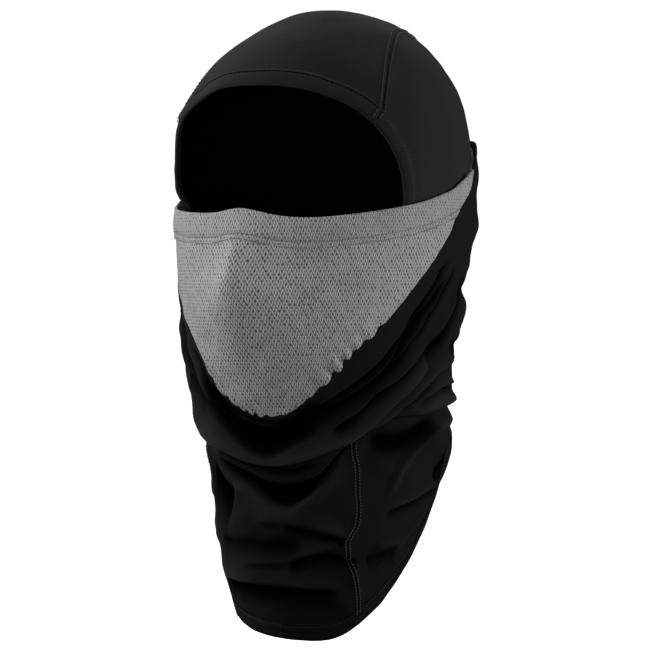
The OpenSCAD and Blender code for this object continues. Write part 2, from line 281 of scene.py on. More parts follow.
def add_mesh(name, points, faces, materials, uvs=None, shade=None):
    """A mesh object from points in millimetres. uvs are one pair per face corner, and shade is the painted
    fold shade and highlight at each point of a folded cloth, kept as its open attribute."""
    mesh = bpy.data.meshes.new(name)
    mesh.from_pydata((np.asarray(points) * MM).tolist(), [], np.asarray(faces).tolist())
    for m in materials:
        mesh.materials.append(m)
    if uvs is not None:
        layer = mesh.uv_layers.new(name="weave")
        layer.data.foreach_set("uv", np.asarray(uvs, np.float32).ravel())
    # the open attribute: painted shade in folds and painted highlight on ridges, for the folded jersey
    if shade is not None:
        layer = mesh.attributes.new("open", "FLOAT", "POINT")
        layer.data.foreach_set("value", np.asarray(shade).ravel())
    mesh.polygons.foreach_set("use_smooth", np.ones(len(mesh.polygons), bool))
    mesh.update()
    obj = bpy.data.objects.new(name, mesh)
    bpy.context.scene.collection.objects.link(obj)
    return obj


def grid_faces(rows, cols, ring=False):
    """The faces of a grid of points, whose columns close up in a ring."""
    r, c = np.meshgrid(np.arange(rows - 1), np.arange(cols if ring else cols - 1), indexing="ij")
    right = (c + 1) % cols
    low, high = r * cols, (r + 1) * cols
    return np.stack([low + c, low + right, high + right, high + c], -1).reshape(-1, 4)


def run_along(points, axis):
    """How far each point of a grid lies along its own line from that line's start."""
    steps = np.linalg.norm(np.diff(points, axis=axis), axis=2)
    return np.insert(np.cumsum(steps, axis), 0, 0, axis=axis)


def cloth(name, points, materials, thick=1.0, ring=False, weave=None, shade=None):
    """A sheet from a grid of points, rows upward and columns with the angle, with a weave in millimetres."""
    rows, cols = points.shape[:2]
    faces = grid_faces(rows, cols, ring)
    closed = np.concatenate([points, points[:, :1]], axis=1) if ring else points
    if weave is None:
        across = run_along(closed, 1)
        weave = np.stack([across - across[:, -1:] / 2, run_along(closed, 0)], -1)
    n = rows - 1
    m = cols if ring else cols - 1
    ends = [weave[:n, :m], weave[:n, 1:m + 1], weave[1:n + 1, 1:m + 1], weave[1:n + 1, :m]]
    corners = np.stack(ends, axis=2)
    obj = add_mesh(name, points.reshape(-1, 3), faces, materials, corners.reshape(-1, 2), shade)
    solid = obj.modifiers.new("thickness", "SOLIDIFY")
    solid.thickness = thick * MM
    solid.offset = -1
    solid.use_even_offset = False
    solid.material_offset = solid.material_offset_rim = len(materials) - 1
    return obj


HEM_OUT = 0.35      # how far a hem stands off the cloth that it is sewn to


def hem_rows(at, face, bulge, sewn_at, fold, back, fine=lambda w: 0):
    """The rows of a turned hem, from the outside over the fold to the back. at(w, off) is the line that lies
    w in from the fold and off the cloth. face and back are the places of the outer and the inner rows,
    bulge is (how wide, how high, how square), sewn_at is (its lines, their depth, their reach), fold is (how
    far it reaches out, how far in, and where the back lies), and fine adds small waves to the outside."""
    wide, high, square = bulge
    lines, deep, reach = sewn_at
    puff = high * np.sin(np.pi * np.clip((wide - face) / wide, 0, 1)) ** square
    puff = puff - sum(deep * swell(face, line, reach) for line in lines)
    rows = [at(w, HEM_OUT + up + fine(w)) for w, up in zip(face, puff)]
    for turn in np.linspace(0, np.pi, 8)[1:]:
        rows.append(at(face[-1] - fold[0] * math.sin(turn), HEM_OUT - fold[1] * (1 - math.cos(turn))))
    return rows + [at(w, fold[2]) for w in back]


def rings(line, side, up, radius, sides, flat=1.0):
    """Rings of points round a line, one row for each of its points. flat below 1 makes them lower."""
    turn = np.linspace(0, 2 * math.pi, sides, endpoint=False)[None, :, None]
    round_it = side[:, None] * np.cos(turn) + up[:, None] * np.sin(turn) * flat
    return (line[:, None] + radius[:, None, None] * round_it).reshape(-1, 3)


def tube(name, line, radius, material, sides):
    """A round tube along a nearly level line of points."""
    ahead = unit(np.gradient(line, axis=0))
    side = unit(np.cross(ahead, np.array([1e-4, 1e-4, 1.0001])))
    points = rings(line, side, np.cross(side, ahead), radius, sides)
    return add_mesh(name, points, grid_faces(len(line), sides, ring=True), [material])


def stitches(name, rows, material, pitch=2.6, fill=0.84, width=0.62):
    """Rows of separate stitches. A row is (points, normals) along a seam, and each stitch is a short thread
    that dips into the cloth at its ends."""
    sides, cuts = 6, 5
    t = np.linspace(0, 1, cuts)
    bow = np.sin(math.pi * t)
    points, faces, base = [], [], 0
    for line, out in rows:
        run = run_along(line[None], 1)[0]
        for k in range(int(run[-1] / pitch)):
            s = (k + 0.5 + (t - 0.5) * fill) * pitch
            mid = np.stack([np.interp(s, run, line[:, i]) for i in range(3)], -1)
            up = unit(np.stack([np.interp(s, run, out[:, i]) for i in range(3)], -1))
            side = unit(np.cross(unit(np.gradient(mid, axis=0)), up))
            mid = mid + up * (width * (0.55 * bow - 0.35))[:, None]
            points.append(rings(mid, side, up, width / 2 * (0.45 + 0.55 * bow), sides, 0.85))
            faces.append(grid_faces(cuts, sides, ring=True) + base)
            base += cuts * sides
    return add_mesh(name, np.concatenate(points), np.concatenate(faces), [material])


# ---- materials ----

def link(tree, a, b):
    tree.links.new(a, b)


def node(tree, kind, **settings):
    """A shader node. A setting whose name starts with in_ is the value of that input."""
    made = tree.nodes.new(kind)
    for key, value in settings.items():
        if key.startswith("in_"):
            made.inputs[key[3:]].default_value = value
        else:
            setattr(made, key, value)
    return made


def maths(tree, operation, *inputs):
    """The result of a maths node whose inputs are numbers or other results."""
    made = node(tree, "ShaderNodeMath", operation=operation)
    for i, value in enumerate(inputs):
        if isinstance(value, (int, float)):
            made.inputs[i].default_value = value
        else:
            link(tree, value, made.inputs[i])
    return made.outputs[0]


def new_material(name, roughness, specular=0.25, sheen=0.0, sheen_tint=(1, 1, 1)):
    """A material with its tree and its shader."""
    material = bpy.data.materials.new(name)
    material.use_nodes = True
    tree = material.node_tree
    shader = tree.nodes["Principled BSDF"]
    shader.inputs["Roughness"].default_value = roughness
    shader.inputs["Specular IOR Level"].default_value = specular
    shader.inputs["Sheen Weight"].default_value = sheen
    shader.inputs["Sheen Tint"].default_value = (*sheen_tint, 1)
    return material, tree, shader


def weave_mm(tree):
    """The cloth's own coordinates in millimetres: across and up."""
    uv = node(tree, "ShaderNodeUVMap", uv_map="weave")
    split = node(tree, "ShaderNodeSeparateXYZ")
    link(tree, uv.outputs[0], split.inputs[0])
    return split.outputs[0], split.outputs[1]


def add_bump(tree, shader, height, strength, depth):
    """Relief from a height between about 0 and 1, as deep as depth millimetres."""
    bump = node(tree, "ShaderNodeBump", in_Strength=strength, in_Distance=depth * MM)
    link(tree, height, bump.inputs["Height"])
    link(tree, bump.outputs[0], shader.inputs["Normal"])


def mix_colours(tree, factor, a, b):
    mix = node(tree, "ShaderNodeMix", data_type="RGBA")
    link(tree, factor, mix.inputs[0])
    for socket, value in ((mix.inputs[6], a), (mix.inputs[7], b)):
        if isinstance(value, tuple):
            socket.default_value = (*value, 1)
        else:
            link(tree, value, socket)
    return mix.outputs[2]


def mottle(tree, scale, detail=3.0):
    """Soft irregular patches over the object, from 0 to 1."""
    where = node(tree, "ShaderNodeTexCoord")
    noise = node(tree, "ShaderNodeTexNoise", in_Scale=scale, in_Detail=detail)
    link(tree, where.outputs["Object"], noise.inputs["Vector"])
    return noise.outputs["Fac"]


def slanting(tree, across, up, cycles_across, cycles_up):
    """A wave over the weave, with its cycles in a millimetre each way."""
    calc = partial(maths, tree)
    turns = calc("MULTIPLY_ADD", across, cycles_across, calc("MULTIPLY", up, cycles_up))
    return calc("SINE", calc("MULTIPLY", turns, 2 * math.pi))


def jersey(name, dark, light, specular, sheen, depth=0.12, folded=False):
    """Plain knit: columns of loops, each course a little arch, with fine fibres. On folded cloth the colour,
    gloss and sheen are scaled by the open attribute: painted shade deep in its folds and a painted highlight
    on its ridges."""
    wale, course = 1.0, 0.8
    material, tree, shader = new_material(name, 0.88, specular, sheen, (0.9, 0.91, 0.94))
    calc = partial(maths, tree)
    across, up = weave_mm(tree)
    column = calc("SINE", calc("MULTIPLY", across, 2 * math.pi / wale))
    arch = calc("MULTIPLY", calc("ABSOLUTE", column), 0.9)
    loop = calc("SINE", calc("ADD", calc("MULTIPLY", up, 2 * math.pi / course), arch))
    knit = calc("ADD", calc("MULTIPLY", column, 0.6), calc("MULTIPLY", loop, 0.4))
    fuzz = mottle(tree, 1500, 2)
    add_bump(tree, shader, calc("ADD", knit, calc("MULTIPLY", fuzz, 1.2)), 0.55, depth)
    shade = calc("MULTIPLY_ADD", knit, 0.16, calc("MULTIPLY_ADD", mottle(tree, 60), 0.55, 0.22))
    shade = calc("MINIMUM", calc("MAXIMUM", shade, 0.0), 1.0)
    colour = mix_colours(tree, shade, dark, light)
    # painted shade and painted highlight: colour, gloss and sheen scaled by the open attribute
    if folded:
        light_share = node(tree, "ShaderNodeAttribute", attribute_name="open").outputs["Fac"]
        shaded = node(tree, "ShaderNodeVectorMath", operation="SCALE")
        link(tree, colour, shaded.inputs[0])
        link(tree, light_share, shaded.inputs["Scale"])
        colour = shaded.outputs[0]
        link(tree, calc("MULTIPLY", light_share, specular), shader.inputs["Specular IOR Level"])
        link(tree, calc("MULTIPLY", light_share, sheen), shader.inputs["Sheen Weight"])
    link(tree, colour, shader.inputs["Base Color"])
    return material


def eyelet_mesh(name, yarn, shadow, hole):
    """Warp-knit mesh: rows of small slanting eyelets of uneven size, every other row moved half a step."""
    material, tree, shader = new_material(name, 0.85, 0.12, 0.05, (0.9, 0.9, 0.95))
    calc = partial(maths, tree)
    pitch, rise = 2.42, 1.76
    across, up = weave_mm(tree)
    row = calc("FLOOR", calc("DIVIDE", up, rise))
    odd = calc("MULTIPLY", calc("FLOORED_MODULO", row, 2.0), 0.5)
    column = calc("ADD", calc("DIVIDE", across, pitch), odd)
    cell = node(tree, "ShaderNodeCombineXYZ")
    link(tree, calc("FLOOR", column), cell.inputs[0])
    link(tree, row, cell.inputs[1])
    draw = node(tree, "ShaderNodeTexWhiteNoise", noise_dimensions="2D")
    link(tree, cell.outputs[0], draw.inputs["Vector"])
    radius = calc("MULTIPLY", calc("MULTIPLY_ADD", draw.outputs["Value"], 0.7, 0.55), hole)
    du = calc("MULTIPLY", calc("SUBTRACT", calc("FRACT", column), 0.5), pitch)
    dv = calc("FRACT", calc("DIVIDE", up, rise))
    dv = calc("MULTIPLY", calc("SUBTRACT", dv, 0.5), rise)
    tall = calc("SUBTRACT", calc("MULTIPLY", du, 0.18), calc("MULTIPLY", dv, 0.68))
    wide = calc("ADD", du, calc("MULTIPLY", dv, 0.3))
    far = calc("SQRT", calc("ADD", calc("MULTIPLY", tall, tall), calc("MULTIPLY", wide, wide)))
    edge = node(tree, "ShaderNodeMapRange", interpolation_type="SMOOTHSTEP")
    link(tree, far, edge.inputs[0])
    link(tree, calc("MULTIPLY", radius, 0.5), edge.inputs[1])
    link(tree, calc("MULTIPLY", radius, 1.5), edge.inputs[2])
    open_share = edge.outputs[0]
    yarns = calc("ADD", slanting(tree, across, up, 0.80, 0.37), slanting(tree, across, up, 0.72, -0.18))
    add_bump(tree, shader, calc("MULTIPLY_ADD", yarns, 0.12, open_share), 0.7, 0.35)
    tone = calc("MULTIPLY_ADD", mottle(tree, 90), 0.5, calc("MULTIPLY_ADD", yarns, 0.5, 0.25))
    lit = mix_colours(tree, tone, tuple(c * 0.62 for c in yarn), tuple(c * 1.38 for c in yarn))
    link(tree, mix_colours(tree, open_share, shadow, lit), shader.inputs["Base Color"])
    return material


def spun(name, colour, sheen=0.3, scale=900):
    """Sewing thread or tape: a soft sheen over fine fibres."""
    material, tree, shader = new_material(name, 0.6, 0.35, sheen)
    fibres = mottle(tree, scale, 2)
    dark, light = tuple(c * 0.7 for c in colour), tuple(c * 1.3 for c in colour)
    link(tree, mix_colours(tree, fibres, dark, light), shader.inputs["Base Color"])
    add_bump(tree, shader, fibres, 0.4, 0.1)
    return material


def painted_inside_shade(name):
    """The inside of the black cloth, painted nearly black: painted shade inside the hood and the layers,
    whose cloth is the same jersey.
    """
    material, tree, shader = new_material(name, 1.0, 0.0)
    colour = mix_colours(tree, mottle(tree, 300), (0.0006,) * 3, (0.0016,) * 3)
    link(tree, colour, shader.inputs["Base Color"])
    return material


# black_jersey and neck_hem are a darker, duller copy of the hood's black jersey: painted shade on the cowl
# and the neck, whose cloth is the same
HOOD_BLACK = jersey("hood_jersey", (0.0092, 0.0092, 0.0096), (0.015, 0.015, 0.0155), 0.09, 0.035)
BLACK = jersey("black_jersey", (0.0042, 0.0042, 0.0044), (0.008, 0.008, 0.0083), 0.04, 0.016, folded=True)
HEM_BLACK = jersey("black_hem", (0.0085, 0.0085, 0.0089), (0.014, 0.014, 0.0145), 0.09, 0.035, depth=0.1)
NECK_HEM_BLACK = jersey("neck_hem", (0.0042, 0.0042, 0.0044), (0.008, 0.008, 0.0083), 0.04, 0.016, depth=0.1)
INSIDE = painted_inside_shade("black_inside")
THREAD = spun("black_thread", (0.013, 0.013, 0.0135), 0.1)
HEM_THREAD = spun("hem_thread", (0.004, 0.004, 0.0042), 0.01)
SEAM_THREAD = spun("seam_thread", (0.03, 0.03, 0.0315), 0.12)
MESH = eyelet_mesh("grey_mesh", (0.322, 0.322, 0.327), (0.07, 0.07, 0.072), 0.42)
MESH_HEM = eyelet_mesh("grey_hem", (0.3, 0.3, 0.305), (0.09, 0.09, 0.092), 0.38)
GREY_THREAD = spun("grey_thread", (0.15, 0.15, 0.153))
ELASTIC = spun("elastic", (0.06, 0.06, 0.06), 0.1, 400)
LABEL = spun("label_tape", (0.6, 0.6, 0.6), 0.1, 500)

# ---- the hood ----

def on_hood(p, off=0.0):
    """The point of the hood's skin nearest p, moved out by off."""
    x, y, z = p[..., 0], p[..., 1], p[..., 2]
    n = np.stack([x / HOOD_W, y / HOOD_L, (z - WIDEST_Z) / CROWN_H], -1)
    d = unit(n)
    high = np.stack([d[..., 0] * (HOOD_W + off), d[..., 1] * (HOOD_L + off),
                     WIDEST_Z + d[..., 2] * (CROWN_H + off)], -1)
    a = along(HOOD_LOW, z, 1)
    b = np.where(y < 0, along(HOOD_LOW, z, 2), along(HOOD_LOW, z, 3))
    r = np.maximum(np.hypot(x / a, y / b), 1e-6)
    low = np.stack([x / r * (1 + off / a), y / r * (1 + off / b), z], -1)
    return np.where((z >= WIDEST_Z)[..., None], high, low)


SIDE_T = 0.75       # the share of the opening's edge that lies over the brow
EDGE_ROUND = 2 / 2.4  # how square its corners are


def opening(t, w=0.0):
    """The edge of the face opening, widened by w: t runs from -1 to 1 over the brow."""
    t, w = np.broadcast_arrays(np.asarray(t, float), np.asarray(w, float))
    half = OPEN_DEG + w / 1.9
    q = np.radians(np.minimum(1, np.abs(t) / SIDE_T) * 90)
    deg = np.sign(t) * half * np.sin(q) ** EDGE_ROUND
    top = BROW_Z - OPEN_SIDE_Z + w
    down = (np.abs(t) - SIDE_T) / (1 - SIDE_T) * (OPEN_SIDE_Z - HOOD_LOW_FRONT)
    over = top * np.maximum(np.cos(q), 0) ** EDGE_ROUND
    return form_point(OPENING_FORM, deg, OPEN_SIDE_Z + np.where(np.abs(t) > SIDE_T, -down, over))


SEAM_T = 0.42       # where the crown seam meets the opening
SEAM_EDGE = OPEN_HEM - 1.2


def crown_seam(t):
    """The crown seam on the wearer's left: t from 0 at the face opening to 1 at the hood's lower edge."""
    t = np.asarray(t, float)
    start = opening(SEAM_T, SEAM_EDGE)
    turn = 31 + np.minimum(1, t / 0.8) * 149
    narrowing = np.radians(np.clip((turn - 20) * 1.54, 0, 180))
    half = PANEL_W + 34 * (0.5 + 0.5 * np.cos(narrowing)) ** 1.25
    k = np.sqrt(1 - (half / HOOD_W) ** 2)
    low = np.maximum(0, (t - 0.8) / 0.2)
    z = WIDEST_Z + CROWN_H * k * np.sin(np.radians(turn)) - low * (WIDEST_Z - HOOD_LOW_BACK)
    p = np.stack([half, -HOOD_L * k * np.cos(np.radians(turn)), z], -1)
    fade = (np.maximum(0, 1 - t / 0.3) ** 1.6)[..., None]
    return start * fade + p * (1 - fade)


def mirrored(p):
    """The same points on the wearer's other side."""
    return p * np.array([-1.0, 1, 1])


def coons(low, high, first, last):
    """Points inside four edges: low and high run with the columns, first and last with the rows."""
    u = np.linspace(0, 1, len(low))[None, :, None]
    v = np.linspace(0, 1, len(first))[:, None, None]
    return ((1 - v) * low[None] + v * high[None] + (1 - u) * first[:, None] + u * last[:, None]
            - (1 - u) * (1 - v) * low[0] - u * (1 - v) * low[-1] - (1 - u) * v * high[0] - u * v * high[-1])


def pressed(p):
    """How the hood's lower part is pressed in under the outer layer."""
    deg = np.degrees(np.arctan2(p[..., 0] / HOOD_W, -p[..., 1] / HOOD_L))
    cowl_edge = along(COWL_TOP, deg)
    edge = np.where(np.abs(deg) > HEM_END, cowl_edge, np.maximum(cowl_edge, mask_top(deg)))
    drawn = between(deg, -122, -48, 30, 10)
    below = edge - p[..., 2]
    push = 2.6 * smooth((below + 2) / 5) + 2.8 * drawn * smooth((below + 8) / 10)
    return -push * smooth((np.abs(deg) - 48) / 14)


SEAM_LINE = crown_seam(np.linspace(0, 1, 200))


def near_seam(p, sharp):
    """1 on either crown seam, falling away over sharp millimetres."""
    q = np.stack([np.abs(p[..., 0]), p[..., 1], p[..., 2]], -1).reshape(-1, 3)
    best = np.full(len(q), 1e9)
    for s in on_hood(SEAM_LINE):
        best = np.minimum(best, ((q - s) ** 2).sum(-1))
    return np.exp(-best / sharp ** 2).reshape(p.shape[:-1])


CROWN_LEAN = np.array([1.2, 10.0, -0.3])    # how far the top of the crown lies off the plain form


def hood_skin(p, off=0.0):
    """The hood's surface with its soft dents, pinched seams and tucked lower part. The crown leans back."""
    base = on_hood(p)
    x, y, z = base[..., 0], base[..., 1], base[..., 2]
    wide = swell(z, 72, 22)
    brow = swell(np.abs(x), 40, 16) * swell(y, -68, 16) * swell(z, 68, 14)
    lift = (0.45 * waves(base, 46, 3) + 0.12 * waves(base, 15, 4) - 1.6 * brow + pressed(base)
            + 0.55 * near_seam(base, 3.4) - 0.75 * near_seam(base, 0.9))
    made = on_hood(base, lift + off)
    made[..., 0] *= 1 + 0.022 * wide + 0.065 * swell(z, 92, 15) * smooth(-x / 25)
    made[..., 1] *= 1 + 0.01 * wide
    return made + smooth((z - 48) / 66)[..., None] * CROWN_LEAN


def rides(obj, body, slot, *nodes):
    """A piece that moves with one body and stands for the nodes."""
    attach(obj, body)
    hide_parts(*nodes)
    return obj


def hood_panel(name, grid, node_name):
    return rides(cloth(name, grid, [HOOD_BLACK, INSIDE], 1.0), "hood", "black_jersey", node_name)


def hood_low(t):
    """The lower edge of a side panel: t from 0 at the face opening to 1 at the crown seam."""
    a0, a1 = opening(1.0, OPEN_HEM), crown_seam(1.0)
    f, g = np.arctan2(a0[0], -a0[1]), np.arctan2(a1[0], -a1[1])
    a = f + (g - f) * t
    z = HOOD_LOW_FRONT + (HOOD_LOW_BACK - HOOD_LOW_FRONT) * np.sin(np.pi / 2 * t)
    return on_hood(np.stack([HOOD_L * np.sin(a), -HOOD_L * np.cos(a), z], -1))


def make_hood():
    """The panel over the crown and the two at the sides, which share their points along the seams."""
    front_t, rear_t = np.linspace(0, 0.45, 90), np.linspace(0.45, 1, 80)
    seam = crown_seam(np.concatenate([front_t, rear_t[1:]]))
    brow = opening(np.linspace(-SEAM_T, SEAM_T, 84), SEAM_EDGE)
    x = np.linspace(-1, 1, 84) * seam[-1, 0]
    back = np.stack([x, HOOD_L * np.sqrt(1 - (x / HOOD_W) ** 2), np.full(84, HOOD_LOW_BACK)], -1)
    center = hood_skin(coons(brow, back, mirrored(seam), seam))
    made = {"center": hood_panel("hood_center", center, "hood_center_panel")}
    # rows run from the bottom edge up, so that the cloth faces outwards
    front = opening(np.linspace(SEAM_T, 1, 80), SEAM_EDGE)[::-1]
    left = coons(hood_low(np.linspace(0, 1, 90)), crown_seam(front_t), front, crown_seam(rear_t)[::-1])
    for side, grid in (("left", left), ("right", mirrored(left[:, ::-1]))):
        made[side] = hood_panel(f"hood_side_{side}", hood_skin(grid), f"hood_side_panel_{side}")
    return made


hood = make_hood()


def make_face_hem():
    """The turned hem of the face opening, and the row of stitches that holds it."""
    t = np.linspace(-1, 1, 260)
    sewn_at = OPEN_HEM - 1.6
    rows = hem_rows(lambda w, off: hood_skin(opening(t, w), off), np.linspace(OPEN_HEM + 0.6, 0.7, 14),
                    (OPEN_HEM, 0.75, 0.6), ([sewn_at], 0.25, 0.9), (0.9, 0.95, -1.6),
                    np.linspace(1.6, OPEN_HEM, 5), lambda w: 0.1 * waves(opening(t, w), 9, 8))
    hem = cloth("face_hem", np.stack(rows)[::-1], [HEM_BLACK, INSIDE], 0.4)
    line = opening(np.linspace(-0.9, 0.9, 300), sewn_at)
    row = stitches("face_hem_stitch", [stitch_row(hood_skin(line, 0.5), hood_skin(line, 3))],
                   THREAD, 2.7, 0.8, 0.5)
    return (rides(hem, "hood", "hem_jersey", "face_opening_hem"),
            rides(row, "hood", "black_thread", "face_opening_stitch"))


face_hem, face_stitch = make_face_hem()


def make_crown_stitches():
    """Two rows on each crown seam, which run on over the hem of the opening."""
    made = []
    on_hem, on_seam, twin = 30, 400, 2.4
    over_hem = opening(SEAM_T, np.linspace(2.5, OPEN_HEM - 1.6, on_hem))
    seam = np.concatenate([over_hem, crown_seam(np.linspace(0.012, 0.97, on_seam))])
    off = np.concatenate([np.full(on_hem, 1.35), 0.15 + 1.2 * smooth(1 - np.arange(on_seam) / 12)])
    for side in ("left", "right"):
        rows = []
        for gap in (-twin, twin):
            line = seam + np.array([gap, 0, 0])
            line = line if side == "left" else mirrored(line)
            rows.append(stitch_row(hood_skin(line, off), hood_skin(line, off + 3)))
        obj = stitches(f"crown_stitch_{side}", rows, THREAD, 2.5)
        made.append(rides(obj, "hood", "black_thread", f"crown_seam_stitch_{side}"))
    return made


crown_stitches = make_crown_stitches()

# ---- the outer layer ----

COWL_STEP = 1.45    # millimetres round the outer form in a degree
NECK_STEP = 1.2

# Folds of the cowl: height, reach above, reach below, then (angle, height) points
COWL_FOLDS = [
    # beside the edge sewn to the mesh: a smooth band, two sharp valleys, a crisp crest and a third valley
    (-5, 1.1, 1.3, [(88, -24), (78, -44), (69, -64), (57, -82), (42, -98), (20, -112)]),
    (1.6, 1.8, 1.8, [(90, -29), (80, -50), (71, -68), (58, -86), (40, -103), (26, -112)]),
    (-5, 1.2, 1.2, [(94, -27), (83, -48), (74, -66), (61, -85), (46, -101), (20, -117)]),
    (3.4, 2.4, 1.8, [(106, -32), (93, -47), (79, -68), (67, -83), (50, -102), (30, -117)]),
    (-5, 1.2, 1.5, [(100, -42), (88, -59), (79, -72), (70, -83), (58, -98), (36, -118)]),
    (-4, 1.1, 1.1, [(88, -32), (80, -47), (63, -79), (51, -94), (38, -104), (24, -112)]),
    (-4, 1.1, 1.1, [(99, -44), (87, -60), (68, -85), (56, -97), (45, -110), (33, -117)]),
    # the recess at the side, and the cloth beyond it
    (-9, 2.6, 4.5, [(110, -36), (97, -54), (88, -70), (76, -81)]),
    (2.6, 3, 3, [(126, -44), (110, -52), (97, -70)]),
    (-2, 3, 3, [(104, -38), (114, -40), (126, -42)]),
    (-2.6, 3, 3, [(98, -73), (114, -72), (128, -73)]),
    # the wide fold that runs down into the band under the mesh's tip
    (4, 2.6, 4.5, [(104, -42), (91, -61), (81, -76), (63, -100), (49, -114), (24, -127)]),
    (4.5, 2.4, 6.5, [(56, -108), (36, -121), (12, -131), (-10, -126), (-30, -112), (-46, -88)]),
    # the fan of small folds low at the side
    (3.4, 2.5, 1.6, [(118, -74), (91, -82), (76, -92), (64, -106), (48, -119)]),
    (-2, 1.2, 2.4, [(116, -79), (91, -86), (78, -96), (66, -107)]),
    (3, 2, 2, [(118, -90), (91, -92), (66, -103)]),
    (-1.8, 1.2, 1.8, [(118, -95), (91, -96), (74, -103)]),
    (4.8, 3.5, 4, [(124, -99), (92, -101), (66, -106)]),
    # tight folds under the mesh's tip, and a second turn at the lower edge
    (-3, 1.3, 1.2, [(-30, -69), (-17, -92), (-3, -107), (16, -111), (34, -98)]),
    (-2.4, 1.2, 1.2, [(-20, -95), (-3, -112), (10, -115), (28, -108)]),
    (-3.4, 1.4, 1.2, [(-30, -127), (-3, -134), (18, -138), (30, -133)]),
    (-4.4, 1, 1.6, [(-58, -42), (-41, -69), (-27, -98), (-10, -117)]),
    (-4, 1.1, 1.8, [(-56, -52), (-40, -81), (-26, -106)]),
    # up the wearer's right
    (3.6, 3.5, 2.6, [(-62, -46), (-42, -72), (-33, -107), (-12, -129)]),
    (-4, 2.2, 2.6, [(-66, -54), (-47, -80), (-36, -110)]),
    (2.8, 3, 3, [(-86, -50), (-56, -82), (-36, -118)]),
    (-3.4, 2.6, 3, [(-96, -54), (-61, -92), (-48, -112)]),
    (2.8, 4, 3, [(-120, -52), (-76, -86), (-58, -108)]),
    (-3.4, 2.6, 4, [(-128, -64), (-102, -80), (-78, -100)]),
    (2.6, 4, 4, [(-140, -76), (-112, -88), (-88, -102)]),
    # slack round the back
    (3.4, 5, 3, [(112, -30), (130, -26), (152, -32), (179, -42)]),
    (-3.6, 3, 4, [(118, -38), (138, -38), (160, -46), (179, -54)]),
    (3, 5, 3.4, [(120, -60), (142, -58), (164, -64), (179, -68)]),
    (-3.2, 3, 3.6, [(122, -72), (146, -70), (172, -78)]),
    (2, 4, 3, [(126, -84), (150, -82), (176, -86)]),
    (3.4, 5, 3, [(-179, -42), (-152, -34), (-126, -32), (-100, -34)]),
    (-3.6, 3, 4, [(-179, -54), (-158, -48), (-130, -46), (-106, -44)]),
    (3, 4.5, 3.4, [(-179, -68), (-160, -62), (-136, -60), (-114, -62)]),
    (2.2, 4, 3, [(-176, -4), (-150, 4), (-124, 0), (-104, -12)]),
    (-2.4, 3, 3, [(-174, -14), (-150, -6), (-126, -10), (-106, -22)]),
    (2.2, 4, 3, [(106, -14), (126, 0), (150, 2), (176, -6)]),
    (-2.4, 3, 3, [(110, -22), (128, -12), (152, -9), (174, -16)]),
]


# The rims of the two dark hollows, one under the mesh's tip and one under the cowl, and their depths
HOLLOW_RIM = [(-30, -92), (-20, -108), (-8, -121), (7, -129), (22, -122), (45, -110)]
NECK_RIM = [(-34, -128), (-24, -137), (-6, -147), (13, -158), (27, -150), (42, -127)]
HOLLOW_DEEP, POCKET_DEEP = 12.0, 14.0


def hollow(deg, z):
    """The deep fold between the mesh's tip and the band that hangs below it."""
    inside = between(deg, -26, 33, 14, 14)
    from_rim = smooth((z - along(HOLLOW_RIM, deg)) / 3.5)
    return -HOLLOW_DEEP * from_rim * smooth((along(COWL_TOP, deg) - 5 - z) / 6) * inside


def cowl_lift(deg, z):
    """The cowl's folds, which die away at the edge that is sewn to the mesh."""
    edge = mesh_edge(deg)
    below = smooth((edge - z - 0.5) / 6)
    calm = 1 - 0.45 * swell(deg, 124, 13)
    folds = relief(COWL_FOLDS, deg, z, COWL_STEP) * calm + hollow(deg, z)
    p = paired(deg * COWL_STEP, z)
    fine = 0.35 * waves(p * (0.45, 1.0), 14, 21) + 0.5 * waves(p * (0.5, 1.0), 38, 22)
    return (folds + fine) * below + 0.5


NECK_FOLDS = [
    # the rim of the pocket, and the folds of the front below it
    (2.6, 1.4, 6, [(deg, z - 1) for deg, z in NECK_RIM]),
    (2.4, 6, 1.6, [(-8, -164), (19, -166), (48, -175)]),
    (-3.2, 1.2, 2.4, [(12, -167), (27, -171), (46, -176)]),
    (-2.4, 3, 6, [(-40, -177), (0, -178), (24, -176)]),
    (2.2, 3.5, 1.6, [(-20, -187), (15, -186), (27, -181), (47, -174)]),
    (-4, 1.2, 4, [(12, -189), (32, -184), (52, -187)]),
    (3.2, 9, 1.8, [(-54, -196), (0, -198), (46, -203)]),
    (-5, 1.6, 5, [(-52, -201), (0, -203), (42, -204)]),
    # the side: a long crease down from the cowl, hollows beside it, and creases that follow the hem
    (3.6, 2.6, 3, [(64, -155), (71, -138), (80, -128), (96, -118), (124, -108)]),
    (-6, 3.5, 5, [(50, -120), (70, -122), (98, -112)]),
    (-4, 4, 6, [(98, -146), (124, -117)]),
    (1.8, 2, 1.6, [(66, -204), (84, -186), (121, -145)]),
    (1.6, 1.6, 1.6, [(60, -196), (84, -172), (110, -143)]),
    (-2.4, 1.4, 2, [(64, -163), (98, -152), (112, -145)]),
    (2, 2, 1.4, [(62, -160), (98, -149), (112, -141)]),
    (1.4, 2.4, 2.4, [(60, -180), (84, -177)]),
    (-2.4, 3, 4, [(56, -187), (76, -183)]),
    # the wearer's right and the back
    (-5, 5, 9, [(-40, -140), (-30, -146), (-18, -154)]),
    (-2.2, 7, 12, [(-66, -132), (-50, -139), (-34, -148), (-18, -158)]),
    (2, 4, 3, [(-78, -128), (-62, -138), (-48, -152), (-36, -162)]),
    (-1.8, 4, 4, [(-84, -140), (-66, -150), (-50, -164)]),
    (2, 5, 3, [(-92, -150), (-74, -162), (-56, -174), (-40, -180)]),
    (1.8, 4, 3, [(-80, -178), (-64, -188), (-50, -196)]),
    (2.2, 4, 4, [(120, -112), (142, -110), (168, -108)]),
    (2.2, 4, 4, [(-168, -108), (-142, -110), (-120, -112)]),
]


def neck_pocket(deg, z):
    """How far in the neck sinks behind the rim of its pocket, and where that is."""
    inside = between(deg, -34, 42, 8, 6)
    return -POCKET_DEEP * smooth((z - along(NECK_RIM, deg) - 0.3) / 4) * inside, inside


